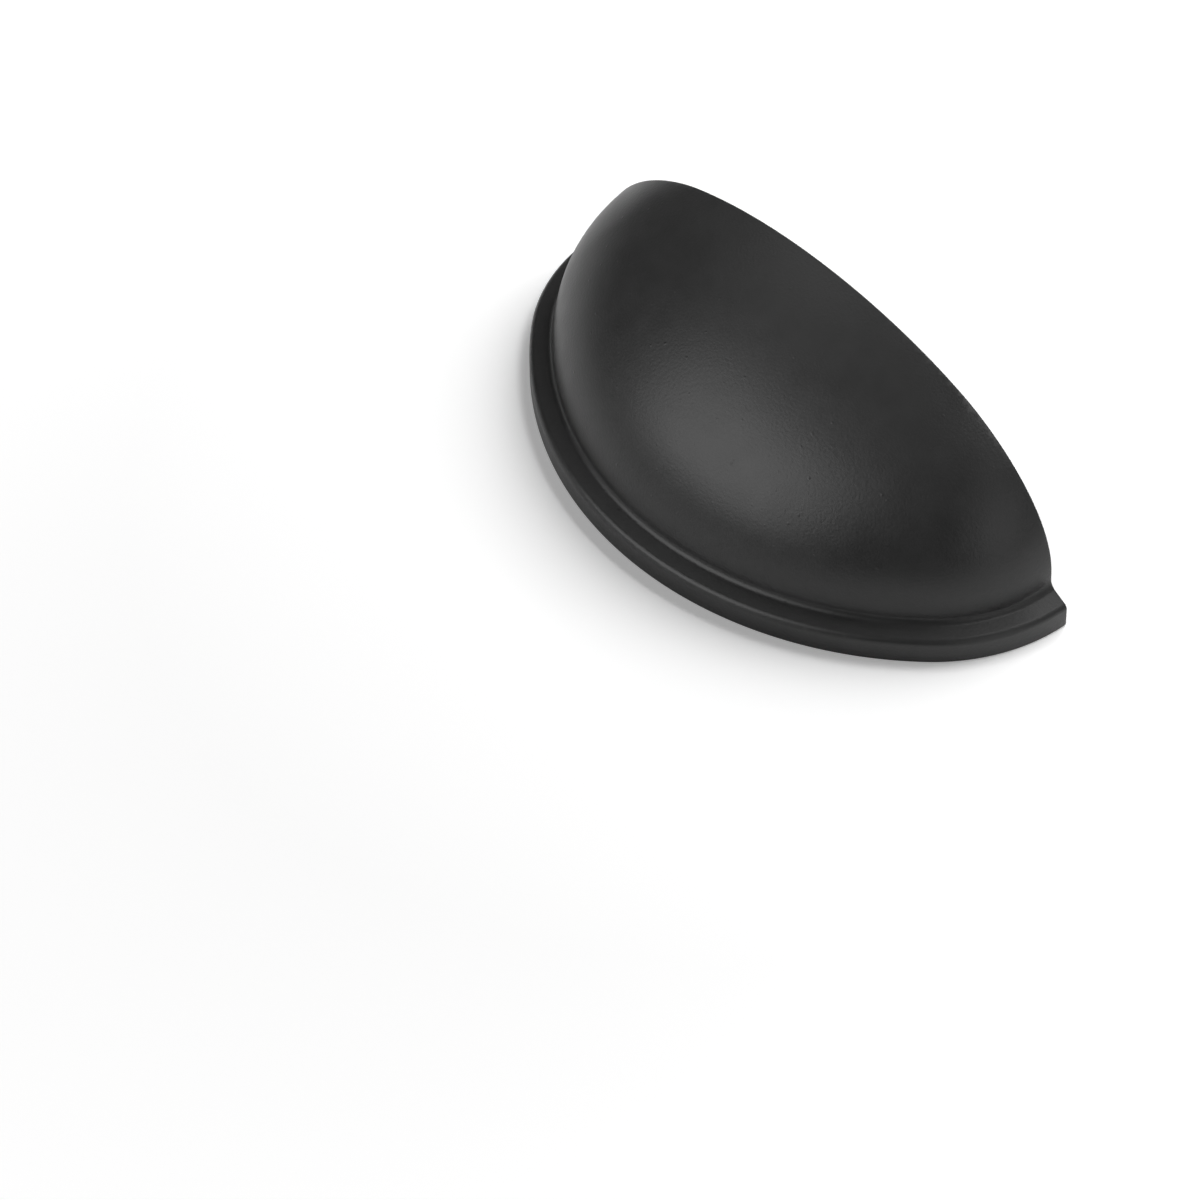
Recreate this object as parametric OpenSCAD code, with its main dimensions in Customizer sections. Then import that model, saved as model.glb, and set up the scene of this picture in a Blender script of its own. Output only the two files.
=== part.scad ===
// Cup pull: a hollow half-round drawer pull, cast in one piece, with two tapped posts behind it.
// X runs along the drawer front, Y toward the closed top of the pull, Z out of the drawer front.
// The origin is on the drawer front, at the middle of the pull's length and height.

/* [Overall size] */
// Height up the drawer front, from the open edge to the top of the rim
height = 34.9; // [34.1:0.1:35.7]
// Distance that the lip stands out from the drawer front
projection = 31.2; // [29:0.1:33]

/* [Rim] */
// Straight side of the rim, measured out from the drawer front
rim_side = 3.1; // [2.9:0.1:3.2]
// Distance out at which the rim's cove meets the dome
rim_top = 5.1; // [5:0.1:5.6]
// Breadth of the rim, from its side to the dome
rim_breadth = 3.1; // [2.9:0.1:3.4]
// Radius of the shoulder at the outer edge of the rim's ledge
shoulder_r = 1; // [0.7:0.1:1]
// Radius of the cove between the ledge and the dome
cove_r = 0.9; // [0.6:0.1:1]
// Rounding of the rim's corner on the drawer front
corner_r = 0.3; // [0.2:0.1:0.5]
// Breadth of the flat seat that rests on the drawer front
seat_breadth = 2; // [1.7:0.1:2.3]
// Depth of the straight wall inside the seat
seat_depth = 1.6; // [1.2:0.1:2]

/* [Dome] */
// Wall of the dome
wall = 2; // [1.7:0.1:2.3]
// Lean of the dome toward the open edge, in degrees
lean = 13; // [10:0.5:16]
// Straight part of the dome's wall, between the rim and the crown's curve
wall_rise = 2.2; // [1.8:0.1:2.6]

/* [Screw posts] */
// Distance between the two screw holes, which sets the pull's length
hole_spacing = 76; // [70:0.5:82]
// Distance from a screw hole to the end of the rim
overhang = 8.3; // [8:0.1:9]
// Height of the screw holes above the open edge
hole_height = 5.2; // [5:0.1:6.5]
// Outside diameter of a post
post_d = 6.2; // [5.8:0.1:6.8]
// Gap between a post's end and the drawer front, so that the rim seats first
post_setback = 2; // [1:0.1:2.2]
// Nominal diameter of the screw thread
thread_d = 4; // [3.8:0.1:4.2]
// Depth of the tapped hole, measured from the post's end
thread_depth = 10; // [8:0.5:10]
// Chamfer at the mouth of the tapped hole
mouth_chamfer = 0.4; // [0.2:0.1:0.6]

/* [Hidden] */
$fn = 96;
length = hole_spacing + 2 * overhang;
// The outline is three arcs, tangent to each other: one around each end, centred on the open edge,
// and a wider one over the top. The line through their centres is the long side of a 20-21-29
// triangle, so that every centre and radius is a plain multiple of one unit.
unit = round((length / 2 - height) / 12 * 1000) / 1000;
end_x = 21 * unit;
crown_y = -20 * unit;
end_r = height - 9 * unit;
crown_r = height + 20 * unit;
// The cove ends this far inside the dome's wall.
tuck = 0.1;
// Each millimetre of rise moves the dome this far toward the open edge.
slip = tan(lean);
// The crown's curve would come level over the centre of the arc over the top.
crown_reach = crown_r - rim_breadth;
// Rise of the crown's curve that brings the lip's middle to the stated projection.
lip_rise = projection - rim_top;
lip_in = height - rim_breadth - slip * lip_rise;
crown_rise = (lip_rise - wall_rise) / sqrt(1 - pow(1 - lip_in / crown_reach, 2));
// The dome's straight wall runs on this far below the rim's top, inside the rim.
skirt = 1.4;
// Margin that carries a cut past the surface it opens.
past = 1;

// Points of an arc about a centre, from one angle to another.
function arc(cx, cy, r, from, to, steps = 6) =
    [for (i = [0 : steps]) let (t = from + (to - from) * i / steps) [cx + r * cos(t), cy + r * sin(t)]];

// Turns a section about Z, with its seam on the side that is cut away.
module turned() {
    rotate([0, 0, -90]) rotate_extrude() children();
}

// The part of the plan that belongs to the arc over the top: both its sides run through an end
// arc's centre, and it reaches past the top of the rim.
module top_wedge() {
    far = ceil(height / 8);
    translate([0, 0, -height]) linear_extrude(3 * height) polygon([
        [-10.5 * unit, -10 * unit], [10.5 * unit, -10 * unit],
        [21 * far, 20 * far + crown_y], [-21 * far, 20 * far + crown_y]
    ]);
}

// Carries a wall section around the pull, along the three arcs. The section is drawn at the arc's
// own radius, which it finds in $path_r.
module swept() {
    intersection() {
        translate([0, crown_y, 0]) turned() let ($path_r = crown_r) children();
        top_wedge();
    }
    for (side = [0, 1]) mirror([side, 0, 0]) difference() {
        translate([end_x, 0, 0]) turned() let ($path_r = end_r) children();
        top_wedge();
    }
}

// Leans a solid toward the open edge, starting at the rim's top.
module leaning() {
    multmatrix([[1, 0, 0, 0], [0, 1, -slip, 0], [0, 0, 1, rim_top]]) children();
}

// Section of the rim: rounded corner, straight side, then a rounded shoulder, a ledge and a small cove.
module rim_section() {
    out = $path_r;
    foot = out - rim_breadth - tuck;
    dx = foot + cove_r - (out - shoulder_r);
    dz = rim_top - rim_side;
    turn = atan2(dz, dx) - acos((shoulder_r + cove_r) / norm([dx, dz]));
    polygon(concat(
        [[0, 0]],
        arc(out - corner_r, corner_r, corner_r, -90, 0),
        arc(out - shoulder_r, rim_side, shoulder_r, 0, turn),
        arc(foot + cove_r, rim_top, cove_r, 180 + turn, 180),
        [[0, rim_top]]
    ));
}

// Section of the dome at a depth under its outer surface: straight wall, then part of an ellipse.
module dome_section(depth) {
    foot = $path_r - rim_breadth - depth;
    reach = crown_reach - depth;
    translate([0, -skirt - depth]) square([foot, skirt + depth + wall_rise]);
    intersection() {
        translate([foot - reach, wall_rise]) scale([1, (crown_rise - depth) / reach]) circle(r = reach);
        translate([0, wall_rise]) square([foot + past, crown_rise + past]);
    }
}

// Section of the hollow behind the rim: straight wall at the seat, then a slope to the dome.
module seat_section() {
    seat = $path_r - seat_breadth;
    inner = $path_r - rim_breadth - wall;
    polygon([[0, -past], [seat, -past], [seat, seat_depth], [inner - 0.3, rim_top - 0.9], [0, rim_top - 0.9]]);
}

// The outside of the pull.
module outside() {
    swept() rim_section();
    leaning() swept() dome_section(0);
}

// The finger hollow.
module hollow() {
    swept() seat_section();
    leaning() swept() dome_section(wall);
}

// Puts a copy at each screw hole.
module at_holes() {
    for (side = [-1, 1]) translate([side * hole_spacing / 2, hole_height, 0]) children();
}

// The two posts, which run from their ends up into the dome's wall.
module posts() {
    at_holes() translate([0, 0, post_setback]) cylinder(d = post_d, h = projection);
}

// A tapped hole at its nominal diameter, with a chamfered mouth and a drill point.
module tapped_hole() {
    r = thread_d / 2;
    translate([0, 0, post_setback]) {
        translate([0, 0, -past]) cylinder(r = r, h = past + thread_depth);
        translate([0, 0, -past]) cylinder(r1 = r + mouth_chamfer + past, r2 = r, h = mouth_chamfer + past);
        translate([0, 0, thread_depth]) cylinder(r1 = r, r2 = 0, h = r / tan(59));
    }
}

// Everything on the far side of the open edge.
module below_edge() {
    translate([-length, -2 * height, -past]) cube([2 * length, 2 * height, projection * 2]);
}

// The whole pull: one casting.
module cup_pull() {
    color([0.09, 0.09, 0.1]) translate([0, -height / 2, 0]) difference() {
        outside();
        difference() {
            hollow();
            posts();
        }
        at_holes() tapped_hole();
        below_edge();
    }
}

cup_pull();
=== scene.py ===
# %% [markdown]
# A cup pull for a drawer
#
# The object is one small casting: a hollow half-round cup with a moulded rim, two tapped posts
# inside it for the fixing screws, and a matte black coat all over. It lies on its back on a pale
# floor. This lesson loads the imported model, models the casting afresh with soft edges, cuts the
# screw threads, and then finishes, lights and frames it.

import math

import bmesh
import bpy
from mathutils import Matrix, Vector


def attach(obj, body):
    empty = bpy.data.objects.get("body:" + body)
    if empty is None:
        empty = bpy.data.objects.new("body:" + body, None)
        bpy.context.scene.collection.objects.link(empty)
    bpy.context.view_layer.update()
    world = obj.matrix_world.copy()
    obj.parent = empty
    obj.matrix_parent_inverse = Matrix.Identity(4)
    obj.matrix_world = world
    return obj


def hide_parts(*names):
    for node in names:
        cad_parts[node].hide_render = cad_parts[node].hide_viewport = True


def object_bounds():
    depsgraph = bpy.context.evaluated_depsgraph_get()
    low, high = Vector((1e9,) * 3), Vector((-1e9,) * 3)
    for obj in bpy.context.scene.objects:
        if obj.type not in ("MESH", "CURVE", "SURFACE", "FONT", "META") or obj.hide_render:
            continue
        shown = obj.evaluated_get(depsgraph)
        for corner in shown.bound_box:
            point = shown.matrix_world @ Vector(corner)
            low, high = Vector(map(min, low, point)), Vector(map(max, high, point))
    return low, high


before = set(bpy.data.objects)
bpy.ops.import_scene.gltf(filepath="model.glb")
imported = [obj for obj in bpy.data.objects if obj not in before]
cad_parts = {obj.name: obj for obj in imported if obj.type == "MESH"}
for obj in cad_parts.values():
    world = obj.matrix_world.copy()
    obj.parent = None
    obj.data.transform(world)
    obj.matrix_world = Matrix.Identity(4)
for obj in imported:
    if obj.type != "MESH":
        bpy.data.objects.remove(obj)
cad_low, cad_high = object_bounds()
MM = 0.001
print("nodes:", sorted(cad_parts), "box:", tuple(cad_low), tuple(cad_high))

# %% [markdown]
# Two helpers carry most of the work. One leaves every other object unselected and opens a piece
# for editing, because an operator acts on all that is selected. The other selects vertices, edges
# or faces by a rule about their place, as a modeller would pick them by eye. A small third one
# counts open edges, so that a step can show that its mesh is closed.

# %% Helpers for editing
def only(piece):
    """Selects this piece alone and makes it active."""
    bpy.ops.object.select_all(action="DESELECT")
    piece.select_set(True)
    bpy.context.view_layer.objects.active = piece


def edit(piece, kind="VERT"):
    """Opens the piece for editing with nothing selected."""
    only(piece)
    bpy.ops.object.mode_set(mode="EDIT")
    bpy.ops.mesh.select_mode(type=kind)
    bpy.ops.mesh.select_all(action="DESELECT")


def done():
    bpy.ops.object.mode_set(mode="OBJECT")


def pick(piece, kind, rule):
    """Selects the vertices, edges or faces that follow a rule, and nothing else."""
    mesh = bmesh.from_edit_mesh(piece.data)
    for part in list(mesh.faces) + list(mesh.edges) + list(mesh.verts):
        part.select = False
    found = [part for part in getattr(mesh, kind) if rule(part)]
    for part in found:
        part.select_set(True)
    bmesh.update_edit_mesh(piece.data)
    return len(found)


def open_edges(piece):
    """How many edges don't have exactly two faces."""
    mesh = bmesh.new()
    mesh.from_mesh(piece.data)
    count = sum(1 for edge in mesh.edges if len(edge.link_faces) != 2)
    mesh.free()
    return count


# %% [markdown]
# Seen from the front, the rim's outline is three arcs that run into each other: one round each end
# and a wider one over the top. They could be drawn by eye, but then a corner would show where they
# meet. Here their centres lie on the long side of a 20-21-29 triangle: an end's centre is 21 units
# out, the top's is 20 units below the open edge, and the radii differ by 29. So one unit length
# gives every centre and radius. The measures below are in millimetres.

# %% Measures of the outline
height = (cad_high.y - cad_low.y) / MM
length = (cad_high.x - cad_low.x) / MM
edge_y = -height / 2
unit = (length / 2 - height) / 12
end_x, end_r = 21 * unit, height - 9 * unit
crown_y, crown_r = -20 * unit, height + 20 * unit
join = math.atan2(20, 21)
print(f"outline {length:.1f} x {height:.1f} mm, end arcs {end_r:.2f}, top arc {crown_r:.2f}")

# %% [markdown]
# One section of the wall runs all the way round. From outside to inside it has the dome, a small
# cove, a ledge, a rounded shoulder, the straight side, the flat seat on the drawer front and the
# inside of the dome. It could be drawn as a curve. Here it is a list of pairs, because each pair
# can then come from a formula: how far in from the outline, and how far out from the drawer.

# %% Measures of the wall section
projection = (cad_high.z - cad_low.z) / MM
rim_side, rim_top, rim_breadth = 2.95, 5.25, 3.1
shoulder_r, cove_r, corner_r = 1.0, 1.0, 0.3
seat_breadth, seat_depth, seat_chamfer, wall = 2.0, 1.6, 0.25, 2.0
wall_rise, slip = 2.05, math.tan(math.radians(13))
# Points of the slope behind the rim: how far short of the dome's inside, and how far under the rim's top.
slope_foot, slope_top = (0.1, 1.1), (0.0, 0.7)
reach = crown_r - rim_breadth
lip_rise = projection - rim_top
lip_in = height - rim_breadth - slip * lip_rise
crown_rise = (lip_rise - wall_rise) / math.sqrt(1 - (1 - lip_in / reach) ** 2)
CROWN_TURN, CROWN_STEPS, WALL_STEPS, CURVE_STEPS, CORNER_STEPS = 68, 40, 5, 10, 4


def sweep(first, last, steps):
    """Angles in radians, in even steps."""
    return [math.radians(first + (last - first) * i / steps) for i in range(steps + 1)]


def dome_points(depth, angles):
    """Part of an ellipse at a depth under the dome's outer face, above its straight foot."""
    return [(rim_breadth + depth + (reach - depth) * (1 - math.cos(t)),
             rim_top + wall_rise + (crown_rise - depth) * math.sin(t)) for t in angles]


dx, dz = cove_r + shoulder_r - rim_breadth, rim_top - rim_side
turn = math.degrees(math.atan2(dz, dx) - math.acos((cove_r + shoulder_r) / math.hypot(dx, dz)))
section = dome_points(0, sweep(CROWN_TURN, 0, CROWN_STEPS))
section += [(rim_breadth, rim_top + wall_rise * k / WALL_STEPS) for k in range(WALL_STEPS - 1, 0, -1)]
section += [(rim_breadth + cove_r * (math.cos(t) - 1), rim_top - cove_r * math.sin(t))
            for t in sweep(0, turn, CURVE_STEPS)]
section += [(shoulder_r * (1 - math.cos(t)), rim_side + shoulder_r * math.sin(t))
            for t in sweep(turn, 0, CURVE_STEPS)]
section += [(corner_r * (1 - math.cos(t)), corner_r * (1 - math.sin(t)))
            for t in sweep(0, 90, CORNER_STEPS)]
section += [(seat_breadth - seat_chamfer, 0), (seat_breadth, seat_chamfer), (seat_breadth, seat_depth)]
section += [(rim_breadth + wall - short, rim_top - under) for short, under in (slope_foot, slope_top)]
section += dome_points(wall, sweep(0, CROWN_TURN, CROWN_STEPS))
print(len(section), "points in the wall section; its ledge faces", round(turn, 1), "degrees up")

# %% [markdown]
# A wire with as many points as the section is the start: a circle is added, opened at one place,
# and its points are set on the section. Spin then carries the wire round an arc's centre, as a
# lathe would. The end arcs leave out the innermost points, which would pass their own centre, and
# run on past the open edge, so that the cut can be made cleanly.

# %% Spin the wall round its three arcs
INNERMOST = 24
TAIL = math.radians(20)
TOP_STEPS, END_STEPS = 80, 48


def spun(name, points, centre, radius, first, turned, steps):
    """A strip of wall: the section's wire, spun about an upright axis from a first angle."""
    bpy.ops.object.select_all(action="DESELECT")
    bpy.ops.mesh.primitive_circle_add(vertices=len(points), radius=0.01)
    strip = bpy.context.object
    strip.name = name
    for vertex, (inward, out) in zip(strip.data.vertices, points):
        place = radius - inward
        vertex.co = Vector((centre[0] + place * math.cos(first),
                            centre[1] + edge_y + place * math.sin(first), out)) * MM
    edit(strip, "EDGE")
    last = len(points) - 1
    pick(strip, "edges", lambda e: {v.index for v in e.verts} == {0, last})
    bpy.ops.mesh.delete(type="EDGE")
    bpy.ops.mesh.select_all(action="SELECT")
    bpy.ops.mesh.spin(steps=steps, angle=-turned, axis=(0, 0, 1),
                      center=(centre[0] * MM, (centre[1] + edge_y) * MM, 0))
    done()
    return strip


end_section = [point for point in section if point[0] <= INNERMOST]
casting = spun("casting", section, (0, crown_y), crown_r, join, math.pi - 2 * join, TOP_STEPS)
right = spun("right_end", end_section, (end_x, 0), end_r, -TAIL, join + TAIL, END_STEPS)
left = spun("left_end", end_section, (-end_x, 0), end_r, math.pi - join, join + TAIL, END_STEPS)

# %% [markdown]
# The three strips become one mesh, and the points where they meet are merged. Then the dome is
# leaned toward the open edge: each ring of points above the rim is moved by its height, gently at
# first so that the cove runs smoothly into the dome. A plain shear would leave a crease there.

# %% Join the strips and lean the dome
only(casting)
right.select_set(True)
left.select_set(True)
bpy.ops.object.join()
edit(casting)
bpy.ops.mesh.select_all(action="SELECT")
MEETING = 0.002
bpy.ops.mesh.remove_doubles(threshold=MEETING * MM)
BLEND = 0.8


def lean(out):
    """How far a ring at this distance from the drawer front moves toward the open edge."""
    over = out - rim_top
    if over <= -BLEND:
        return 0.0
    if over >= BLEND:
        return slip * over
    return slip * (over + BLEND) ** 2 / (4 * BLEND)


rings = sorted({round(out, 5) for _, out in section if lean(out) > 0})
for out in rings:
    pick(casting, "verts", lambda v: abs(v.co.z / MM - out) < 1e-4)
    bpy.ops.transform.translate(value=(0, -lean(out) * MM, 0))
done()
print(len(rings), "rings leaned;", len(casting.data.vertices), "points")

# %% [markdown]
# Toward its two ends the rim loses its ledge: the cove widens until the rim slopes from its
# shoulder to the dome. Each point of the ledge and the cove is lifted, more the nearer it is to
# the dome and to the open edge. A second spin with another section would leave a seam, and this
# doesn't.

# %% Widen the cove at the rim's ends
LIFT, LIFT_START, LIFT_POWER, LIFT_LENGTH = 0.9, 0.5, 1.6, 8.0
HAIR = 0.01


def end_lift(inward, out, from_edge):
    """How far a point of the rim's outer face rises near the open edge."""
    near = min(max(1 - from_edge / LIFT_LENGTH, 0), 1)
    share = max(inward - LIFT_START, 0) / (rim_breadth - LIFT_START)
    rise = share ** LIFT_POWER * min(1, 1 - (out - rim_top) / wall_rise)
    return LIFT * rise * near * near * (3 - 2 * near)


lifted = 0
for vertex in casting.data.vertices:
    x, y, out = vertex.co / MM
    from_edge = y - edge_y + lean(out)
    inward = end_r - math.hypot(abs(x) - end_x, from_edge)
    on_rim = rim_side < out < rim_top + wall_rise - HAIR and inward < rim_breadth + HAIR
    if on_rim and abs(x) > end_x:
        rise = end_lift(inward, out, from_edge)
        vertex.co.z += rise * MM
        lifted += rise > 0
print(lifted, "points lifted")

# %% [markdown]
# The open edge is a straight cut. Bisect takes away everything past it, a little short of the true
# edge. Where the cut crosses the mesh at a shallow angle it leaves crowded points, which would
# shade as fine notches, so those are merged: first the points beside the cut into their
# neighbours, and then the points along it. Bisect lists its new points in a different order each
# time, and merging depends on that, so everything is put in a fixed order first. The cut is made
# flat and filled, and its faces are inset together in small steps and moved out a little each time.
# That brings them to the true edge with a soft round on both sides, as the coat leaves it. A bevel
# would need one clean loop of edges.

# %% Cut and round the open edge
LIP_ROUND, LIP_STEPS = 0.28, 5
SLIVER, CROWDED, NEAR_CUT, CROWDED_ABOVE = 0.02, 0.25, 0.2, 8


def settle_order(piece):
    """Puts points, edges and faces in an order that follows from their places alone."""
    def key(place):
        return place.x + place.y * math.sqrt(2) + place.z * math.sqrt(3)

    mesh = bmesh.from_edit_mesh(piece.data)
    mesh.verts.sort(key=lambda v: key(v.co))
    mesh.edges.sort(key=lambda e: key(e.verts[0].co + e.verts[1].co))
    mesh.faces.sort(key=lambda f: key(f.calc_center_bounds()))
    for parts in (mesh.verts, mesh.edges, mesh.faces):
        parts.index_update()
    bmesh.update_edit_mesh(piece.data)


def beside_cut(vertex):
    return vertex.co.y - cut_y < NEAR_CUT * MM and vertex.co.z > CROWDED_ABOVE * MM


edit(casting)
bpy.ops.mesh.select_all(action="SELECT")
cut_y = (edge_y + LIP_ROUND) * MM
bpy.ops.mesh.bisect(plane_co=(0, cut_y, 0), plane_no=(0, 1, 0), clear_inner=True,
                    threshold=1e-8)
settle_order(casting)
bpy.ops.mesh.select_all(action="SELECT")
bpy.ops.mesh.remove_doubles(threshold=SLIVER * MM)
pick(casting, "verts", lambda v: beside_cut(v) and not v.is_boundary)
bpy.ops.mesh.remove_doubles(threshold=CROWDED * MM, use_unselected=True)
pick(casting, "verts", lambda v: beside_cut(v) and v.is_boundary)
bpy.ops.mesh.remove_doubles(threshold=CROWDED * MM)
bpy.ops.mesh.select_mode(type="EDGE")
pick(casting, "edges", lambda e: len(e.link_faces) == 1)
bpy.ops.transform.resize(value=(1, 0, 1), center_override=(0, cut_y, 0))
bpy.ops.mesh.fill(use_beauty=True)
bpy.ops.mesh.select_all(action="SELECT")
bpy.ops.mesh.normals_make_consistent(inside=False)
bpy.ops.mesh.select_mode(type="FACE")
print("lip faces:", pick(casting, "faces", lambda f: all(abs(v.co.y - cut_y) < 1e-7 for v in f.verts)))
for i in range(LIP_STEPS):
    a, b = math.pi / 2 * i / LIP_STEPS, math.pi / 2 * (i + 1) / LIP_STEPS
    bpy.ops.mesh.inset(thickness=LIP_ROUND * (math.cos(a) - math.cos(b)) * MM, use_even_offset=False)
    bpy.ops.transform.translate(value=(0, -LIP_ROUND * (math.sin(b) - math.sin(a)) * MM, 0))
done()
print("open edges:", open_edges(casting), "lowest y:", min(v.co.y for v in casting.data.vertices) / MM)

# %% [markdown]
# Two posts take the screws. Each starts as a short cylinder. Its far end is raised into the dome's
# wall, following the wall's slope, so that no step shows outside, which a plain long cylinder
# wouldn't do. The near end is inset, chamfered and pushed in for the hole, with a drill's cone at
# the bottom.

# %% Model one screw post
HOLE_SPACING, HOLE_HEIGHT = 76.0, 5.2
POST_R, SETBACK, BORE_R, BORE_DEPTH, CHAMFER = 3.1, 2.0, 2.0, 10.0, 0.4
START_LENGTH, POST_EDGE, DRILL_POINT, DRILL_TIP_R, SUNK = 4.0, 0.2, 1.2, 0.02, 0.6
POST_SIDES, SETTLE_PASSES = 48, 40


def inside_height(x, y):
    """Distance out from the drawer front to the inside of the dome, at a place on the front."""
    out = rim_top + wall_rise
    for _ in range(SETTLE_PASSES):
        up = y - edge_y + lean(out)
        x_side = abs(x)
        if x_side * 20 > (up - crown_y) * 21:
            inward = end_r - math.hypot(x_side - end_x, up)
        else:
            inward = crown_r - math.hypot(x_side, up - crown_y)
        share = min(max((inward - rim_breadth - wall) / (reach - wall), 0), 1)
        out = rim_top + wall_rise + (crown_rise - wall) * math.sqrt(1 - (1 - share) ** 2)
    return out


def screw_post(name, x):
    """A round post with a chamfered blind hole, grown into the dome's wall."""
    bpy.ops.object.select_all(action="DESELECT")
    y = edge_y + HOLE_HEIGHT
    middle_z = SETBACK + START_LENGTH / 2
    bpy.ops.mesh.primitive_cylinder_add(vertices=POST_SIDES, radius=POST_R * MM, depth=START_LENGTH * MM,
                                        location=(x * MM, y * MM, middle_z * MM))
    post = bpy.context.object
    post.name = name
    bpy.ops.object.transform_apply(location=True, rotation=True, scale=True)
    edit(post, "FACE")
    pick(post, "faces", lambda f: f.normal.z > 0.9)
    bpy.ops.mesh.inset(thickness=POST_R / 2 * MM)
    bpy.ops.mesh.poke()
    done()
    for vertex in post.data.vertices:
        if vertex.co.z > middle_z * MM:
            vertex.co.z = (inside_height(vertex.co.x / MM, vertex.co.y / MM) + SUNK * wall) * MM
    edit(post, "FACE")
    pick(post, "faces", lambda f: f.normal.z < -0.9)
    bpy.ops.mesh.bevel(offset=POST_EDGE * MM, segments=2, affect="EDGES")
    pick(post, "faces", lambda f: f.normal.z < -0.99)
    bpy.ops.mesh.inset(thickness=(POST_R - POST_EDGE - BORE_R - CHAMFER) * MM, depth=0)
    bpy.ops.mesh.inset(thickness=CHAMFER * MM, depth=-CHAMFER * MM)
    inward = {"value": (0, 0, (BORE_DEPTH - CHAMFER) * MM)}
    bpy.ops.mesh.extrude_region_move(TRANSFORM_OT_translate=inward)
    bpy.ops.mesh.inset(thickness=(BORE_R - DRILL_TIP_R) * MM, depth=-DRILL_POINT * MM)
    done()
    return post


posts = [screw_post("post_a", -HOLE_SPACING / 2), screw_post("post_b", HOLE_SPACING / 2)]
for post in posts:
    print(post.name, "tops out at", round(max(v.co.z for v in post.data.vertices) / MM, 2), "mm",
          "open edges:", open_edges(post))

# %% [markdown]
# The posts are cast with the cup, so a Boolean union makes one skin of them. Smooth shading by
# angle keeps the curved faces soft and the few real corners crisp. A Weighted Normal modifier then
# lets large faces lead the shading, so that the thin faces beside the cut don't show.

# %% Unite the posts with the cup
only(posts[0])
posts[1].select_set(True)
bpy.ops.object.join()
only(casting)
union = casting.modifiers.new("unite", "BOOLEAN")
union.operation = "UNION"
union.solver = "EXACT"
union.object = posts[0]
bpy.ops.object.modifier_apply(modifier=union.name)
bpy.data.objects.remove(posts[0])
SMOOTH_UNDER = 32
only(casting)
bpy.ops.object.shade_smooth_by_angle(angle=math.radians(SMOOTH_UNDER))
even = casting.modifiers.new("even", "WEIGHTED_NORMAL")
even.keep_sharp = True
bpy.ops.object.modifier_apply(modifier=even.name)
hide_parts("cup_pull")
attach(casting, "root")
print("casting:", len(casting.data.polygons), "faces, open edges:", open_edges(casting))

# %% [markdown]
# The holes are tapped for an M4 screw. One ridge of the thread is a narrow wedge in section. The
# Screw modifier carries it round and up by one pitch a turn, which gives the true helix. A stack of
# rings would be simpler, but a look into the hole would show it. The ridge is modelled once and
# copied to the second hole, with its own mesh.

# %% Cut the screw threads
PITCH, CREST_R, ROOT_SINK = 0.7, 1.66, 0.03
ROOT_HALF, CREST_HALF = 0.31, 0.06
TURNS, TURN_STEPS, RUN_IN = 12, 36, 0.35
THREAD_SMOOTH_UNDER = 25


def thread_ridge(name, x):
    """A helical ridge that lines a hole from its chamfer nearly to its bottom."""
    bpy.ops.object.select_all(action="DESELECT")
    bpy.ops.mesh.primitive_circle_add(vertices=4, radius=0.001)
    ridge = bpy.context.object
    ridge.name = name
    root_r = BORE_R + ROOT_SINK
    wedge = [(root_r, -ROOT_HALF), (CREST_R, -CREST_HALF), (CREST_R, CREST_HALF), (root_r, ROOT_HALF)]
    for vertex, (r, z) in zip(ridge.data.vertices, wedge):
        vertex.co = Vector((r, 0, z)) * MM
    only(ridge)
    screw = ridge.modifiers.new("helix", "SCREW")
    screw.axis = "Z"
    screw.angle = 2 * math.pi
    screw.screw_offset = PITCH * MM
    screw.iterations = TURNS
    screw.steps = screw.render_steps = TURN_STEPS
    screw.use_smooth_shade = False
    bpy.ops.object.modifier_apply(modifier=screw.name)
    edit(ridge, "EDGE")
    pick(ridge, "edges", lambda e: len(e.link_faces) == 1)
    bpy.ops.mesh.edge_face_add()
    bpy.ops.mesh.fill_holes(sides=8)
    bpy.ops.mesh.select_all(action="SELECT")
    bpy.ops.mesh.normals_make_consistent(inside=False)
    done()
    start = SETBACK + CHAMFER + RUN_IN
    ridge.data.transform(Matrix.Translation(Vector((x, edge_y + HOLE_HEIGHT, start)) * MM))
    only(ridge)
    bpy.ops.object.shade_smooth_by_angle(angle=math.radians(THREAD_SMOOTH_UNDER))
    return ridge


thread_a = thread_ridge("thread_a", -HOLE_SPACING / 2)
only(thread_a)
bpy.ops.object.duplicate()
thread_b = bpy.context.object
thread_b.name = "thread_b"
thread_b.data.transform(Matrix.Translation((HOLE_SPACING * MM, 0, 0)))
threads = [thread_a, thread_b]
for ridge in threads:
    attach(ridge, "root")
print([(t.name, len(t.data.polygons), open_edges(t)) for t in threads])

# %% [markdown]
# The coat is a fine matte black powder, baked on. Close up it isn't flat: the powder flows into a
# very fine grain, a few nibs stand proud, and the sheen drifts a little from place to place. An
# image could hold all that, but noise and cells on the object's own coordinates need no unwrapping.
# They sit in one node group, which each black finish uses with its own values.

# %% A node group for the baked coat
def socket(tree, name, kind, way, value=None):
    made = tree.interface.new_socket(name=name, in_out=way, socket_type=kind)
    if value is not None:
        made.default_value = value


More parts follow.
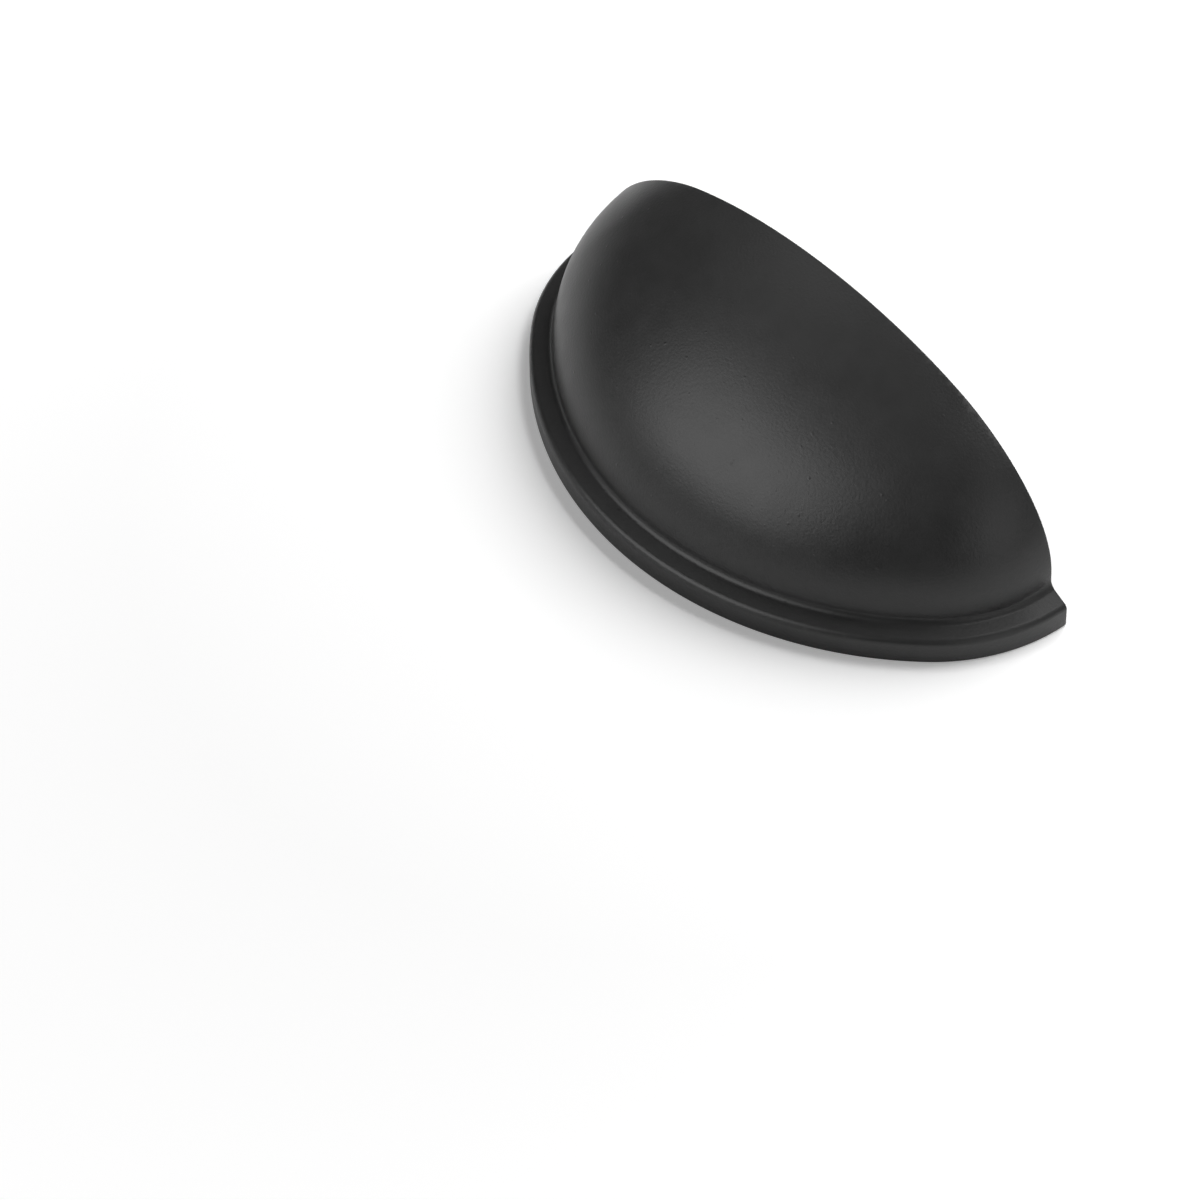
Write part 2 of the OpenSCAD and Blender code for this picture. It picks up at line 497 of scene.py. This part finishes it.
coat = bpy.data.node_groups.new("baked_coat", "ShaderNodeTree")
socket(coat, "Dark", "NodeSocketColor", "INPUT", (0.03, 0.03, 0.03, 1))
socket(coat, "Light", "NodeSocketColor", "INPUT", (0.038, 0.038, 0.038, 1))
socket(coat, "Least rough", "NodeSocketFloat", "INPUT", 0.32)
socket(coat, "Most rough", "NodeSocketFloat", "INPUT", 0.44)
socket(coat, "Grain per metre", "NodeSocketFloat", "INPUT", 2600)
socket(coat, "Color", "NodeSocketColor", "OUTPUT")
socket(coat, "Roughness", "NodeSocketFloat", "OUTPUT")
socket(coat, "Grain", "NodeSocketFloat", "OUTPUT")


def node(tree, kind, **values):
    made = tree.nodes.new(kind)
    for key, value in values.items():
        setattr(made, key, value)
    return made


inputs, outputs = node(coat, "NodeGroupInput"), node(coat, "NodeGroupOutput")
where = node(coat, "ShaderNodeTexCoord")
drift = node(coat, "ShaderNodeTexNoise")
drift.inputs["Scale"].default_value = 260
drift.inputs["Detail"].default_value = 4
grain = node(coat, "ShaderNodeTexNoise")
grain.inputs["Detail"].default_value = 2
nibs = node(coat, "ShaderNodeTexVoronoi")
nibs.inputs["Scale"].default_value = 450
nib = node(coat, "ShaderNodeMapRange", interpolation_type="SMOOTHSTEP")
nib.inputs["From Max"].default_value = 0.12
nib.inputs["To Min"].default_value = 1.1
nib.inputs["To Max"].default_value = 0
grain_and_nibs = node(coat, "ShaderNodeMath", operation="ADD")
tint = node(coat, "ShaderNodeMix", data_type="RGBA")
rough = node(coat, "ShaderNodeMix", data_type="FLOAT")
link = coat.links.new
for noise in (drift, grain, nibs):
    link(where.outputs["Object"], noise.inputs["Vector"])
link(inputs.outputs["Grain per metre"], grain.inputs["Scale"])
link(drift.outputs["Fac"], tint.inputs["Factor"])
colour_in = {s.identifier: s for s in tint.inputs}
link(inputs.outputs["Dark"], colour_in["A_Color"])
link(inputs.outputs["Light"], colour_in["B_Color"])
link(drift.outputs["Fac"], rough.inputs["Factor"])
link(inputs.outputs["Least rough"], rough.inputs["A"])
link(inputs.outputs["Most rough"], rough.inputs["B"])
link([s for s in tint.outputs if s.identifier == "Result_Color"][0], outputs.inputs["Color"])
link([s for s in rough.outputs if s.identifier == "Result_Float"][0], outputs.inputs["Roughness"])
link(nibs.outputs["Distance"], nib.inputs["Value"])
link(grain.outputs["Fac"], grain_and_nibs.inputs[0])
link(nib.outputs["Result"], grain_and_nibs.inputs[1])
link(grain_and_nibs.outputs["Value"], outputs.inputs["Grain"])
print("baked_coat has", len(coat.nodes), "nodes")

# %% [markdown]
# The casting's material takes colour, roughness and a fine bump from the group. The threads have
# the same black, burnished by the tap: glossier and with less grain. What is the same all over, such
# as the strength of the reflection, is set on the shader itself.

# %% Materials of the casting and the threads
def coated(name, bump, **values):
    """A coated finish that reads the shared group."""
    material = bpy.data.materials.new(name)
    material.use_nodes = True
    tree = material.node_tree
    shader = tree.nodes["Principled BSDF"]
    group = node(tree, "ShaderNodeGroup", node_tree=coat)
    for key, value in values.items():
        group.inputs[key.replace("_", " ")].default_value = value
    shader.inputs["Specular IOR Level"].default_value = 0.4
    relief = node(tree, "ShaderNodeBump")
    relief.inputs["Strength"].default_value = bump
    relief.inputs["Distance"].default_value = 0.00004
    tree.links.new(group.outputs["Color"], shader.inputs["Base Color"])
    tree.links.new(group.outputs["Roughness"], shader.inputs["Roughness"])
    tree.links.new(group.outputs["Grain"], relief.inputs["Height"])
    tree.links.new(relief.outputs["Normal"], shader.inputs["Normal"])
    return material


matte_black = coated("matte_black_coat", 0.7)
tapped_black = coated("tapped_black", 0.1, Least_rough=0.2, Most_rough=0.28)
casting.data.materials.clear()
casting.data.materials.append(matte_black)
for ridge in threads:
    ridge.data.materials.clear()
    ridge.data.materials.append(tapped_black)
print("materials:", matte_black.name, tapped_black.name)

# %% [markdown]
# The floor is one pale sheet. The camera sees an added glow on it, weak beside the pull, so that
# the soft shadow stays, and stronger further off, where the lamps don't reach. Reflections see an
# even glow. More light would whiten the floor as well, but it would also bleach the pull.

# %% Floor
bpy.ops.object.select_all(action="DESELECT")
bpy.ops.mesh.primitive_plane_add(size=6)
floor = bpy.context.object
floor.name = "floor"
floor_finish = bpy.data.materials.new("white_floor")
floor_finish.use_nodes = True
tree = floor_finish.node_tree
surface = tree.nodes["Principled BSDF"]
surface.inputs["Base Color"].default_value = (0.9, 0.9, 0.9, 1)
surface.inputs["Roughness"].default_value = 0.9
surface.inputs["Specular IOR Level"].default_value = 0.0
glow = node(tree, "ShaderNodeEmission")
path = node(tree, "ShaderNodeLightPath")
add = node(tree, "ShaderNodeAddShader")
spot = node(tree, "ShaderNodeTexCoord")
away = node(tree, "ShaderNodeVectorMath", operation="LENGTH")
fade = node(tree, "ShaderNodeMapRange")
for key, value in {"From Min": 0.08, "From Max": 0.5, "To Min": 0.3, "To Max": 1.0}.items():
    fade.inputs[key].default_value = value
MIRRORED_GLOW = 0.25
shown = node(tree, "ShaderNodeMath", operation="MULTIPLY")
mirrored = node(tree, "ShaderNodeMath", operation="ADD", use_clamp=True)
level = node(tree, "ShaderNodeMath", operation="MULTIPLY_ADD")
level.inputs[1].default_value = MIRRORED_GLOW
tree.links.new(spot.outputs["Object"], away.inputs[0])
tree.links.new(away.outputs["Value"], fade.inputs["Value"])
tree.links.new(path.outputs["Is Camera Ray"], shown.inputs[0])
tree.links.new(fade.outputs["Result"], shown.inputs[1])
tree.links.new(path.outputs["Is Glossy Ray"], mirrored.inputs[0])
tree.links.new(path.outputs["Is Transmission Ray"], mirrored.inputs[1])
tree.links.new(mirrored.outputs["Value"], level.inputs[0])
tree.links.new(shown.outputs["Value"], level.inputs[2])
tree.links.new(level.outputs["Value"], glow.inputs["Strength"])
tree.links.new(surface.outputs["BSDF"], add.inputs[0])
tree.links.new(glow.outputs["Emission"], add.inputs[1])
tree.links.new(add.outputs["Shader"], tree.nodes["Material Output"].inputs["Surface"])
floor.data.materials.append(floor_finish)
print("floor of", floor.dimensions.x, "m")

# %% [markdown]
# The light is a plain studio. Four panels are there for their soft reflections in the coat, so they
# light no matte surface: a broad one beyond the closed top, a narrow one at the side, and two high
# ones that pick out the lip and the rim's ledge. One soft lamp high over the open edge throws the
# shadow toward the closed top, and isn't mirrored in the coat. A picture of a studio round the
# scene could do the same, but each lamp here can be moved by itself.

# %% Light
scene = bpy.context.scene
scene.view_settings.view_transform = "Standard"
world = bpy.data.worlds.new("studio")
scene.world = world
world.use_nodes = True
world.node_tree.nodes["Background"].inputs["Color"].default_value = (1, 1, 1, 1)
world.node_tree.nodes["Background"].inputs["Strength"].default_value = 0.08
middle = (cad_low + cad_high) / 2
PANEL_DISTANCE = 0.8


def panel(name, turn, rise, size, power, matte=True, gloss=True):
    """A soft lamp that faces the pull, at an angle round it and an angle over the floor."""
    lamp = bpy.data.lights.new(name, "AREA")
    lamp.shape = "RECTANGLE"
    lamp.size, lamp.size_y = size
    lamp.energy = power
    holder = bpy.data.objects.new(name, lamp)
    scene.collection.objects.link(holder)
    turn, rise = math.radians(turn), math.radians(rise)
    towards = Vector((math.cos(turn) * math.cos(rise), math.sin(turn) * math.cos(rise), math.sin(rise)))
    holder.location = middle + towards * PANEL_DISTANCE
    holder.rotation_euler = towards.to_track_quat("Z", "Y").to_euler()
    holder.visible_diffuse = matte
    holder.visible_glossy = gloss


panel("front_panel", 70, 33, (0.85, 0.65), 5.2, matte=False)
panel("side_panel", 172, 22, (0.35, 0.5), 0.6, matte=False)
panel("lip_panel", 232, 62, (0.4, 0.5), 1.3, matte=False)
panel("ledge_panel", 350, 58, (0.3, 0.3), 0.35, matte=False)
panel("shadow_lamp", 266, 50, (0.66, 0.42), 7.5, gloss=False)

# %% [markdown]
# The camera stands well back with a long lens, high over the closed top of the pull and to one
# side, tilted by a degree. Its frame holds the pull in the upper right. A nearer camera with a
# shorter lens would swell the near end of the rim.

# %% Camera
eye, aim = Vector((-0.4605, 0.4172, 0.6577)), Vector((-0.0026, 0.0249, 0.0))
view = bpy.data.cameras.new("view")
view.sensor_width = 36
view.lens = 205.2
camera = bpy.data.objects.new("view", view)
scene.collection.objects.link(camera)
tilt = Matrix.Rotation(math.radians(-0.87), 4, "Z")
camera.matrix_world = (Matrix.Translation(eye)
                       @ (eye - aim).to_track_quat("Z", "Y").to_matrix().to_4x4() @ tilt)
scene.camera = camera
print("camera at", tuple(round(v, 3) for v in eye), "lens", view.lens)
